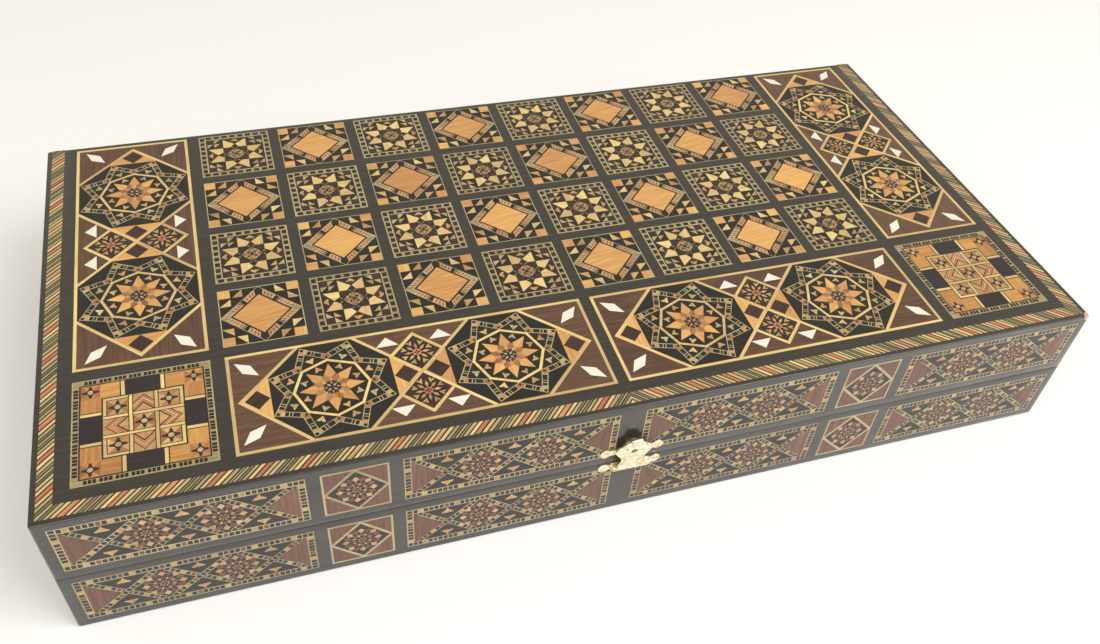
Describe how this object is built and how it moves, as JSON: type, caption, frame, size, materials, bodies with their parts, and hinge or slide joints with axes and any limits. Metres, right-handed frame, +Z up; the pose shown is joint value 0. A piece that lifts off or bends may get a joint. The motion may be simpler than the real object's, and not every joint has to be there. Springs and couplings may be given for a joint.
{
  "type": "backgammon case",
  "caption": "Flat rectangular inlaid wooden games case: hinged trays with chessboard marquetry outside, backgammon points inside and a brass front latch.",
  "frame": {"origin": "centre of the base's lower face, where the closed case stands on a table", "axes": "+X along the case's length to the right seen from the latch, +Y towards the hinges at the back, +Z up through the lid"},
  "size_m": [0.5, 0.2576, 0.076],
  "materials": {
    "softwood_board": "planed, unfinished inside",
    "ebonised_ground": "ebonised veneer under satin lacquer",
    "star_marquetry": "marquetry of light and dark wood under satin lacquer",
    "diamond_marquetry": "marquetry round an apricot-coloured wood square, satin lacquer",
    "medallion_marquetry": "marquetry in walnut with mother-of-pearl, satin lacquer",
    "corner_marquetry": "marquetry of woven strips and flowers, satin lacquer",
    "rope_marquetry": "slanting coloured stripes, satin lacquer",
    "lattice_marquetry": "marquetry lattice with rosettes, satin lacquer",
    "field_walnut": "satin lacquer",
    "light_wood": "satin lacquer",
    "dark_wood": "satin lacquer",
    "octagon_marquetry": "marquetry star, satin lacquer",
    "brass": "thin pressed sheet, polished",
    "bone": "ivory-coloured, smooth"
  },
  "bodies": {
    "base": {"base_board": "softwood_board", "base_ground_veneer": "ebonised_ground", "base_star_squares": "star_marquetry", "base_diamond_squares": "diamond_marquetry", "base_front_medallions": "medallion_marquetry", "base_left_medallion": "medallion_marquetry", "base_right_medallion": "medallion_marquetry", "base_corner_squares": "corner_marquetry", "base_rope_banding": "rope_marquetry", "base_front_wall": "ebonised_ground", "base_back_wall": "ebonised_ground", "base_left_wall": "ebonised_ground", "base_right_wall": "ebonised_ground", "base_front_panels": "lattice_marquetry", "base_back_panels": "lattice_marquetry", "base_end_panels": "lattice_marquetry", "base_playing_field": "field_walnut", "base_light_points": "light_wood", "base_dark_points": "dark_wood", "base_field_octagon": "octagon_marquetry", "base_hinge_leaf_left": "brass", "base_hinge_leaf_right": "brass", "hinge_pin_left": "brass", "hinge_pin_right": "brass", "base_hinge_screws": "brass", "latch_base_plate": "brass", "latch_pin": "brass", "latch_base_nails": "brass", "dark_checkers": "dark_wood", "light_checkers": "light_wood", "dice": "bone"},
    "lid": {"lid_board": "softwood_board", "lid_ground_veneer": "ebonised_ground", "lid_star_squares": "star_marquetry", "lid_diamond_squares": "diamond_marquetry", "lid_front_medallions": "medallion_marquetry", "lid_left_medallion": "medallion_marquetry", "lid_right_medallion": "medallion_marquetry", "lid_corner_squares": "corner_marquetry", "lid_rope_banding": "rope_marquetry", "lid_front_wall": "ebonised_ground", "lid_back_wall": "ebonised_ground", "lid_left_wall": "ebonised_ground", "lid_right_wall": "ebonised_ground", "lid_front_panels": "lattice_marquetry", "lid_back_panels": "lattice_marquetry", "lid_end_panels": "lattice_marquetry", "lid_playing_field": "field_walnut", "lid_light_points": "light_wood", "lid_dark_points": "dark_wood", "lid_field_octagon": "octagon_marquetry", "lid_hinge_leaf_left": "brass", "lid_hinge_leaf_right": "brass", "lid_hinge_screws": "brass", "latch_lid_plate": "brass", "latch_lid_nails": "brass"},
    "hasp": {"latch_hasp": "brass"}
  },
  "joints": [
    {"name": "lid_hinge", "type": "hinge", "parent": "base", "child": "lid", "pos_m": [0, 0.12525, 0.038], "axis": [-1, 0, 0], "range_deg": [0, 180]},
    {"name": "hasp_hinge", "type": "hinge", "parent": "base", "child": "hasp", "pos_m": [0.002, -0.1271, 0.035], "axis": [1, 0, 0], "range_deg": [0, 170]}
  ]
}
